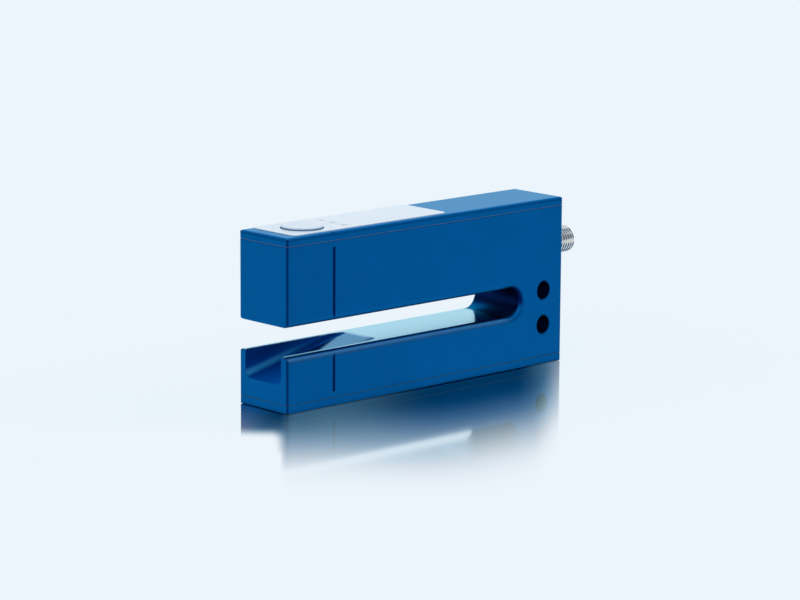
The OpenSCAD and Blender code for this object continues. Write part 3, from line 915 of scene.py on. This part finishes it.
@dataclass(frozen=True)
class TurnedMetal(Finish):
    """Metal with the fine rings of a lathe round one axis."""

    satin: float = 0.05
    axis: Axis = Axis.X
    ring_pitch: float = 0.12
    ring_depth: float = 0.003
    ring_satin: float = 0.12
    ring_stretch: float = 400.0

    def dress(self, tree: Tree) -> None:
        """Fills the material.

        Args:
            tree: The material's nodes.
        """
        stretch = [1.0 if n == self.axis.value else self.ring_stretch for n in range(3)]
        rings = tree.noise(self.ring_pitch, stretch=stretch)
        speck = tree.noise(self.grain)
        tree.surface(
            base_color=self.plain(tree, speck),
            roughness=self.grained(speck) + (rings - 0.5) * self.ring_satin,
            metallic=self.metallic,
            normal=tree.bump(rings, self.ring_depth),
        )


@dataclass(frozen=True)
class CircuitBoard(Finish):
    """Solder mask over a grid of tracks."""

    satin: float = 0.1
    track: Rgb = (0.03, 0.24, 0.1)
    track_w: float = 0.12
    track_soft: float = 0.2
    track_h: float = 0.03
    row: float = 1.6
    brick: float = 5.0
    offset: float = 0.37

    def dress(self, tree: Tree) -> None:
        """Fills the material.

        Args:
            tree: The material's nodes.
        """
        speck = tree.noise(self.grain)
        bricks = tree.add(
            "ShaderNodeTexBrick",
            {"offset": self.offset},
            {
                "Vector": tree.place(),
                "Scale": 1.0,
                "Mortar Size": self.track_w,
                "Mortar Smooth": self.track_soft,
                "Brick Width": self.brick,
                "Row Height": self.row,
            },
        )
        track = Value(tree, bricks.outputs["Fac"])
        tree.surface(
            base_color=self.plain(tree, speck).towards(self.track, track),
            roughness=self.grained(speck),
            normal=tree.bump(track, self.track_h),
        )


@dataclass(frozen=True)
class Striped(Finish):
    """A flat strip with parallel conductors along it."""

    satin: float = 0.1
    stripe: Rgb = (0.6, 0.3, 0.12)
    stripe_share: float = 0.6
    pitch: float = 1.0
    share: float = 0.5
    soft: float = 0.15
    ridge: float = 0.1

    def dress(self, tree: Tree) -> None:
        """Fills the material.

        Args:
            tree: The material's nodes.
        """
        speck = tree.noise(self.grain)
        across = tree.point().y
        wave = across.math("COSINE", across * (2 * math.pi / self.pitch)) * 0.5 + 0.5
        line = wave.rise(1 - self.share - self.soft, 1 - self.share + self.soft)
        tree.surface(
            base_color=self.plain(tree, speck).towards(self.stripe, line * self.stripe_share),
            roughness=self.grained(speck),
            normal=tree.bump(wave, self.ridge),
        )


@dataclass(frozen=True)
class ClearPlastic(Finish):
    """Clear or tinted plastic."""

    satin: float = 0.05
    transmission: float = 0.7
    ior: float = 1.49

    def dress(self, tree: Tree) -> None:
        """Fills the material.

        Args:
            tree: The material's nodes.
        """
        speck = tree.noise(self.grain)
        tree.surface(
            base_color=self.plain(tree, speck),
            roughness=self.grained(speck),
            transmission_weight=self.transmission,
            ior=self.ior,
            normal=tree.bump(speck, self.relief),
        )


FINISHES: dict[Slot, Finish] = {
    Slot.ANODISED: AnodisedAluminium(from_screen(0, 91, 158), 0.42, metallic=1.0, grain=0.22, relief=0.006),
    Slot.SEAL: BondedSeal(from_screen(88, 122, 154), 0.6, grain=0.2),
    Slot.LABEL: LabelFilm(from_screen(230, 239, 247), 0.38, grain=0.25, relief=0.002, mottle=0.015),
    Slot.BUTTON: ButtonCap(from_screen(228, 236, 244), 0.45, grain=0.2, mottle=0.02),
    Slot.RUBBER: Finish(from_screen(28, 30, 34), 0.55, grain=0.15),
    Slot.PLUNGER: Finish(from_screen(217, 212, 196), 0.4),
    Slot.BLACK: Finish(from_screen(30, 31, 35), 0.42, grain=0.18, relief=0.006),
    Slot.BOARD: CircuitBoard(from_screen(28, 106, 68), 0.35),
    Slot.FERRITE: Finish(from_screen(74, 77, 82), 0.6, grain=0.12, relief=0.01, mottle=0.15),
    Slot.CAN: TurnedMetal(from_screen(184, 189, 194), 0.3, metallic=1.0, axis=Axis.Z),
    Slot.GREEN: ClearPlastic(from_screen(160, 222, 140), 0.25, transmission=0.3),
    Slot.AMBER: ClearPlastic(from_screen(240, 176, 78), 0.25, transmission=0.3),
    Slot.CLEAR: ClearPlastic(from_screen(222, 232, 238), 0.15),
    Slot.SCREW: TurnedMetal(from_screen(186, 186, 182), 0.3, metallic=1.0, axis=Axis.Z),
    Slot.HEADER: Finish(from_screen(230, 225, 208), 0.42),
    Slot.RIBBON: Striped(from_screen(138, 144, 152), 0.5, stripe=(0.2, 0.22, 0.26), pitch=1.27, ridge=0.12),
    Slot.CUP: TurnedMetal(from_screen(200, 204, 208), 0.32, metallic=1.0, axis=Axis.Z),
    Slot.MATCHING: Finish(from_screen(232, 228, 218), 0.7, grain=0.15, relief=0.02, mottle=0.06),
    Slot.PIEZO: Finish(from_screen(200, 184, 138), 0.45, metallic=0.4, grain=0.2),
    Slot.BACKING: Finish(from_screen(76, 80, 88), 0.7, grain=0.25, relief=0.01),
    Slot.FLEX: Striped(from_screen(184, 112, 44), 0.35, pitch=0.8, ridge=0.02),
    Slot.NICKEL: TurnedMetal(from_screen(222, 219, 212), 0.2, metallic=1.0, mottle=0.03),
    Slot.GOLD: TurnedMetal(from_screen(226, 184, 96), 0.2, metallic=1.0, mottle=0.03),
}


class Palette:
    """The materials, one for each slot."""

    def __init__(self) -> None:
        """Builds every finish."""
        self.materials = {slot: finish.build(slot) for slot, finish in FINISHES.items()}

    def dress(self, piece: bpy.types.Object, slot: Slot) -> None:
        """Gives a piece the material of a slot."""
        piece.data.materials.clear()
        piece.data.materials.append(self.materials[slot])


def finished(bm: bmesh.types.BMesh, name: str, sharp_deg: float = 35.0) -> bpy.types.Object:
    """Turns a bmesh in millimetres into a smooth-shaded object at the origin.

    Args:
        bm: The mesh, which is freed.
        name: The piece's name.
        sharp_deg: Edges sharper than this stay sharp.

    Returns:
        The object.
    """
    bmesh.ops.remove_doubles(bm, verts=bm.verts, dist=1e-4)
    bmesh.ops.recalc_face_normals(bm, faces=bm.faces)
    bmesh.ops.scale(bm, vec=(MM, MM, MM), verts=bm.verts)
    mesh = bpy.data.meshes.new(name)
    bm.to_mesh(mesh)
    bm.free()
    mesh.polygons.foreach_set("use_smooth", [True] * len(mesh.polygons))
    mesh.set_sharp_from_angle(angle=math.radians(sharp_deg))
    piece = bpy.data.objects.new(name, mesh)
    bpy.context.scene.collection.objects.link(piece)
    return piece


def added(piece: bpy.types.Object, palette: Palette, slot: Slot, body: Body, *nodes: str) -> None:
    """Dresses a new piece and ties it to the frame.

    Args:
        piece: The new piece.
        palette: The materials.
        slot: The record's slot of its finish.
        body: The body that it moves with.
        nodes: The CAD nodes that it stands for.
    """
    palette.dress(piece, slot)
    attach(piece, body.value)
    if nodes:
        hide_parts(*nodes)
    log.info("%s: %d faces, rides on %s", piece.name, len(piece.data.polygons), body.value)


class CadPieces:
    """The CAD nodes that keep their shape."""

    def dress(self, palette: Palette) -> None:
        """Gives each node the finish of its slot in the record.

        Args:
            palette: The materials.
        """
        for row in frame["record"]["subparts"]:
            slot = Slot(row["material_slot"])
            palette.dress(frame["nodes"][row["node"]], slot)
            log.info("%s: %s", row["node"], slot.value)


@dataclass
class RoundPlug:
    """The plug in the rear face: its threaded shell and its contact pins."""

    segments: int = 72
    thread_pitch: float = 1.0
    thread_depth: float = 0.3
    thread_mean: float = 0.5
    thread_swing: float = 0.9
    rings_per_turn: int = 10
    edge_chamfer: float = 0.25
    shank_r: float = 4.5
    neck_r: float = 3.45
    thread_r: float = 4.0
    bore_r: float = 3.2
    end_chamfer: float = 0.5
    ring_gap: float = 0.1
    run_out: float = 0.15
    near: float = 0.01
    shell_sharp_deg: float = 30.0
    pin_r: float = 0.5
    pin_round: float = 0.35
    pin_segments: int = 20
    pin_steps: int = 4
    low: Vector = field(default_factory=lambda: node_box("plug_shell")[0])
    high: Vector = field(default_factory=lambda: node_box("plug_shell")[1])

    def build(self, palette: Palette) -> None:
        """Builds and ties both pieces."""
        added(self.shell(), palette, Slot.NICKEL, Body.SENSOR, "plug_shell")
        added(self.pins(), palette, Slot.GOLD, Body.SENSOR, "plug_pins")

    @property
    def axis_z(self) -> float:
        """Height of the plug's axis."""
        return (self.low.z + self.high.z) / 2

    @property
    def thread_start(self) -> float:
        """Where the thread begins behind its ring."""
        ring_low, ring_high = node_box("plug_ring")
        return ring_high.x + (ring_high.x - ring_low.x) * self.run_out

    def profile(self) -> list[Span]:
        """Gives the shell's half section.

        Returns:
            Its points, each a place along X and a radius.
        """
        seat = node_box("plug_gasket")[1].x
        flange_r = (self.high.y - self.low.y) / 2
        flange_end = node_box("plug_ring")[0].x - self.ring_gap
        chamfer = self.edge_chamfer
        body = [
            (self.low.x, self.bore_r),
            (self.low.x, self.shank_r),
            (seat, self.shank_r),
            (seat, flange_r - chamfer),
            (seat + chamfer, flange_r),
            (flange_end - chamfer, flange_r),
            (flange_end, flange_r - chamfer),
            (flange_end, self.neck_r),
            (self.thread_start, self.neck_r),
        ]
        step = self.thread_pitch / self.rings_per_turn
        count = round((self.high.x - self.end_chamfer - self.thread_start) / step)
        thread = [(self.thread_start + n * step, self.thread_r) for n in range(count)]
        end = [
            (self.high.x - self.end_chamfer, self.thread_r),
            (self.high.x, self.thread_r - self.end_chamfer),
            (self.high.x, self.bore_r),
        ]
        return body + thread + end

    def shell(self) -> bpy.types.Object:
        """Spins the half section round the axis and cuts the thread into it.

        Returns:
            The shell.
        """
        bm = bmesh.new()
        points = [bm.verts.new((x, r, 0)) for x, r in self.profile()]
        for a, b in zip(points, points[1:] + points[:1]):
            bm.edges.new((a, b))
        bmesh.ops.spin(
            bm,
            geom=bm.verts[:] + bm.edges[:],
            cent=(0, 0, 0),
            axis=(1, 0, 0),
            dvec=(0, 0, 0),
            angle=2 * math.pi,
            steps=self.segments,
            use_merge=True,
        )
        inner_r = self.thread_r - self.end_chamfer - self.near
        for vert in bm.verts:
            radius = math.hypot(vert.co.y, vert.co.z)
            if radius > inner_r and vert.co.x > self.thread_start - self.near:
                wanted = min(radius, self.thread_radius(vert.co))
                vert.co.y *= wanted / radius
                vert.co.z *= wanted / radius
        bmesh.ops.translate(bm, vec=(0, 0, self.axis_z), verts=bm.verts)
        return finished(bm, "plug_thread_shell", self.shell_sharp_deg)

    def thread_radius(self, point: Vector) -> float:
        """Gives the thread's outer radius at a point about the axis.

        Args:
            point: The point, with the axis at zero height.

        Returns:
            The radius.
        """
        round_share = math.atan2(point.z, point.y) / (2 * math.pi)
        turn = (point.x - self.thread_start) / self.thread_pitch - round_share
        wave = self.thread_mean + self.thread_swing * math.cos(2 * math.pi * turn)
        groove = 1 - min(1.0, max(0.0, wave))
        return self.thread_r - self.thread_depth * groove

    def pins(self) -> bpy.types.Object:
        """Makes the four pins with rounded tips.

        Returns:
            The pins, as one piece.
        """
        low, high = node_box("plug_pins")
        reach = high.y - self.pin_r
        bm = bmesh.new()
        for side, up in ((-1, -1), (-1, 1), (1, -1), (1, 1)):
            place = Matrix.Translation(((low.x + high.x) / 2, side * reach, self.axis_z + up * reach))
            made = bmesh.ops.create_cone(
                bm,
                cap_ends=True,
                segments=self.pin_segments,
                radius1=self.pin_r,
                radius2=self.pin_r,
                depth=high.x - low.x,
                matrix=place @ Matrix.Rotation(math.pi / 2, 4, "Y"),
            )
            edges = {e for v in made["verts"] for e in v.link_edges}
            tip = [e for e in edges if all(abs(v.co.x - high.x) < self.near for v in e.verts)]
            bmesh.ops.bevel(
                bm,
                geom=tip,
                offset=self.pin_round,
                segments=self.pin_steps,
                profile=0.5,
                affect="EDGES",
                material=-1,
            )
        return finished(bm, "contact_pins")


@dataclass
class PolishedFloor:
    """A pale polished floor that mirrors the sensor at its foot and is the plain backdrop further off.

    In front of the sensor a painted shadow lies over the mirror image: the veil over it starts bluish, and
    painted light makes it paler at both ends.
    """

    backdrop: Rgb
    half_m: float = 4.0
    drop: float = 0.02
    polish: Rgb = (0.96, 0.97, 0.98)
    roughness: float = 0.05
    blur: float = 0.08
    mirror_reach: Span = (35.0, 120.0)
    # Painted contact shadow that darkens the mirror image at the sensor's foot
    contact_shadow: Rgb = (0.34, 0.4, 0.33)
    contact_reach: float = 42.0
    # The veil over the mirror image, and the bluish tint of the painted shadow in it
    veil_reach: Span = (15.0, 108.0)
    glossy_reach: Span = (0.0, 4.0)
    shade: Rgb = (0.32, 0.72, 0.9)
    shade_reach: Span = (12.0, 85.0)
    # Painted light at the two ends of the mirror image, a painted penumbra of its painted shadow, and how
    # far the ends are pushed into the paler veil; the edges lean across the floor
    front_lean: float = 0.9
    rear_lean: float = 1.03
    front_penumbra: float = 0.13
    rear_penumbra: float = 0.3
    front_lift: float = 17.0
    rear_lift: float = 28.0
    tip_lift: float = 60.0
    # Where these fade: the first two from the frame's origin, the others from an end of the mirror image
    penumbra_start: Span = (5.0, -40.0)
    lift_start: float = 20.0
    front_fade: Span = (0.0, 14.0)
    rear_fade: Span = (1.0, -9.0)
    penumbra_front: Span = (-3.0, 3.0)
    penumbra_rear: Span = (-19.0, 6.0)
    lift_front: float = 10.0
    lift_rear: Span = (-12.0, 2.0)
    tip_front: Span = (1.0, -6.0)
    tip_corner: Span = (-38.0, -62.0)
    low: Vector = field(default_factory=lambda: CAD_BOX[0] / MM)
    high: Vector = field(default_factory=lambda: CAD_BOX[1] / MM)

    def build(self) -> None:
        """Makes the floor and hands it to the stage."""
        bm = bmesh.new()
        bmesh.ops.create_grid(bm, x_segments=1, y_segments=1, size=self.half_m / MM)
        bmesh.ops.translate(bm, vec=(0, 0, -self.drop), verts=bm.verts)
        plane = finished(bm, "floor")
        tree = Tree(bpy.data.materials.new("floor"))
        self.dress(tree)
        plane.data.materials.append(tree.owner)

    @property
    def near_end(self) -> float:
        """Where the mirror image's front end starts, along the leaning front."""
        return self.low.x - self.low.y * self.front_lean

    @property
    def far_end(self) -> float:
        """Where it starts along the same lean from the far side of the open end."""
        return self.low.x - self.high.y * self.front_lean

    @property
    def back_end(self) -> float:
        """Where the mirror image's rear end starts, along the leaning rear."""
        return node_box("fork_housing")[1].x - self.low.y * self.rear_lean

    def away(self, p: Point) -> Value:
        """Gives the distance from the sensor's box over the floor.

        Args:
            p: The point on the floor.

        Returns:
            The distance.
        """
        middle, half = (self.low.x + self.high.x) / 2, (self.high.x - self.low.x) / 2
        past_x = (abs(p.x - middle) - half).at_least(0.0)
        past_y = (abs(p.y) - self.high.y).at_least(0.0)
        return length(past_x, past_y)

    def front(self, p: Point) -> Value:
        """Gives the place along X, as seen along the leaning front of the mirror image."""
        return p.x - p.y * self.front_lean

    def rear(self, p: Point) -> Value:
        """Gives the place along X, as seen along its leaning rear."""
        return p.x - p.y * self.rear_lean

    def beside(self, p: Point) -> Value:
        """Masks the near side of the sensor's middle."""
        return p.y.rise(self.high.y, self.low.y)

    def before(self, p: Point) -> Value:
        """Masks the stretch of the floor before the sensor, where its mirror image and its painted shadow
        lie.
        """
        front = (self.front(p) - self.far_end).rise(*self.front_fade)
        return front * (self.rear(p) - self.back_end).rise(*self.rear_fade) * self.beside(p)

    def penumbra_light(self, p: Point) -> Value:
        """Gives the painted light over the ends of the mirror image, where the painted shadow has a painted
        penumbra.

        Args:
            p: The point on the floor.

        Returns:
            Its share, from 0 to 1.
        """
        front = self.front(p)
        front_end = front.rise(*self.penumbra_start) * (front - self.near_end).rise(*self.penumbra_front)
        rear_end = (self.rear(p) - self.back_end).rise(*self.penumbra_rear)
        return (front_end * self.front_penumbra + rear_end * self.rear_penumbra) * self.beside(p)

    def lift(self, p: Point) -> Value:
        """Gives how far the ends of the painted shadow are pushed into the paler veil, which paints light
        there, with a painted patch of light before the open end.

        Args:
            p: The point on the floor.

        Returns:
            The added distance.
        """
        front = self.front(p)
        end = self.near_end
        tip = (front - end).rise(*self.tip_front) * (p.x + p.y - end).rise(*self.tip_corner)
        front_end = front.rise(self.lift_start, end + self.lift_front)
        rear_end = (self.rear(p) - self.back_end).rise(*self.lift_rear)
        return front_end * self.front_lift + rear_end * self.rear_lift + tip * self.tip_lift

    def dress(self, tree: Tree) -> None:
        """Fills the floor's material.

        Args:
            tree: The material's nodes.
        """
        p = tree.point()
        direct, glossy = tree.rays()
        away = self.away(p)
        before = self.before(p)
        start, end = self.mirror_reach
        # Painted contact shadow near the sensor's foot
        contact_shadow = away.rise(self.contact_reach, 0.0) * before * direct
        tree.surface(
            base_color=Colour(tree, self.polish).towards(self.contact_shadow, contact_shadow),
            metallic=away.rise(end, start),
            roughness=self.roughness + away.rise(0.0, end) * self.blur,
            specular_ior_level=0.0,
        )
        # Painted light: the ends of the painted shadow and a patch before the open end are pushed into the
        # paler veil
        spread = away + self.lift(p)
        # Painted shadow: a bluish tint on the veil before the sensor
        tint = [a * b for a, b in zip(self.backdrop, self.shade)]
        untinted = spread.rise(*self.shade_reach).at_least(glossy).at_least(1 - before)
        pale = Colour(tree, tint).towards(self.backdrop, untinted)
        plain = tree.add("ShaderNodeEmission", None, {"Color": pale, "Strength": 1.0})
        # Painted penumbra: the veil grows over the ends of the painted shadow
        clear = (1 - spread.rise(*self.veil_reach)) * (1 - self.penumbra_light(p))
        veil = (1 - clear) * direct + away.rise(*self.glossy_reach) * glossy
        polished = tree.first("BSDF_PRINCIPLED").outputs[0]
        mixed = tree.add("ShaderNodeMixShader", None, {0: veil, 1: polished, 2: plain.outputs[0]})
        tree.fill(tree.first("OUTPUT_MATERIAL"), {"Surface": mixed.outputs[0]})


@dataclass
class Room:
    """The even light of the room. What mirrors the room sees the plain backdrop and darker sides."""

    backdrop: Rgb
    sky: float = 0.75
    dark_side: Way = (0.6, -0.8, 0.0)
    dark_share: float = 0.5
    dark_spread: Span = (0.45, 0.8)
    far_share: float = 0.9
    dark_height: Span = (0.66, 0.5)

    def build(self) -> None:
        """Makes the world."""
        tree = Tree(bpy.data.worlds.new("studio"))
        bpy.context.scene.world = tree.owner
        way = tree.add("ShaderNodeTexCoord").outputs["Generated"]
        facing = tree.add("ShaderNodeVectorMath", {"operation": "DOT_PRODUCT"}, {0: way, 1: self.dark_side})
        up = Value(tree, tree.add("ShaderNodeSeparateXYZ", None, {0: way}).outputs["Z"])
        share = Value(tree, facing.outputs["Value"])
        far = share.rise(*(-s for s in self.dark_spread)) * self.far_share
        dark = (share.rise(*self.dark_spread) + far) * up.rise(*self.dark_height)
        mirrored = 1 - dark * self.dark_share
        direct, glossy = tree.rays()
        strength = direct.at_least(glossy) * (mirrored - self.sky) + self.sky
        tree.fill(tree.first("BACKGROUND"), {"Color": (*self.backdrop, 1.0), "Strength": strength})


@dataclass(frozen=True)
class Softbox:
    """A soft square lamp that points at the sensor. Its own shape isn't seen in what mirrors it."""

    name: str
    towards: Way
    distance_m: float
    size_m: float
    power: float

    def build(self) -> None:
        """Hangs the lamp."""
        data = bpy.data.lights.new(self.name, "AREA")
        data.shape = "SQUARE"
        data.size = self.size_m
        data.energy = self.power
        lamp = bpy.data.objects.new(self.name, data)
        lamp.visible_glossy = False
        way = Vector(self.towards).normalized()
        lamp.location = way * self.distance_m
        lamp.rotation_euler = way.to_track_quat("Z", "Y").to_euler()
        bpy.context.scene.collection.objects.link(lamp)


@dataclass
class PhotoCamera:
    """The camera, at the photograph's place and angle."""

    eye: Vector = field(default_factory=lambda: Vector((-655.66, -687.52, 210.76)))
    yaw_deg: float = 43.28
    pitch_deg: float = 11.16
    roll_deg: float = -0.36
    focal_px: float = 3317.0
    picture_px: float = 800.0
    sensor_m: float = 0.036
    clip_m: Span = (0.01, 50)

    def build(self) -> None:
        """Makes the camera and looks through it."""
        yaw, pitch, roll = (math.radians(a) for a in (self.yaw_deg, self.pitch_deg, self.roll_deg))
        level_way = Vector((math.sin(yaw), math.cos(yaw), 0))
        forward = level_way * math.cos(pitch) - Vector((0, 0, math.sin(pitch)))
        level = Vector((math.cos(yaw), -math.sin(yaw), 0))
        down = forward.cross(level)
        right = math.cos(roll) * level + math.sin(roll) * down
        up = math.sin(roll) * level - math.cos(roll) * down
        data = bpy.data.cameras.new("photo_camera")
        data.sensor_fit = "HORIZONTAL"
        data.sensor_width = self.sensor_m / MM
        data.lens = data.sensor_width * self.focal_px / self.picture_px
        data.clip_start, data.clip_end = self.clip_m
        camera = bpy.data.objects.new("photo_camera", data)
        turned = Matrix((right, up, -forward)).transposed().to_4x4()
        camera.matrix_world = Matrix.Translation(self.eye * MM) @ turned
        bpy.context.scene.collection.objects.link(camera)
        bpy.context.scene.camera = camera


@dataclass
class Studio:
    """The floor, the light and the camera."""

    backdrop: Rgb = from_screen(236, 245, 252)
    softboxes: tuple[Softbox, ...] = (
        Softbox("right_softbox", (0.67, -0.1, 0.72), 0.95, 0.8, 0.5),
        Softbox("overhead_softbox", (0.0, 0.1, 1.0), 1.0, 1.2, 2.9),
    )

    def build(self) -> None:
        """Makes the floor, the light and the camera."""
        PolishedFloor(self.backdrop).build()
        Room(self.backdrop).build()
        for softbox in self.softboxes:
            softbox.build()
        PhotoCamera().build()
        bpy.context.scene.view_settings.view_transform = "Standard"


def main() -> None:
    """Dresses the sensor, adds its detailed pieces and sets up the studio."""
    logging.basicConfig(level=logging.INFO, format="%(name)s: %(message)s")
    palette = Palette()
    CadPieces().dress(palette)
    RoundPlug().build(palette)
    Studio().build()


if __name__ == "__main__":
    main()
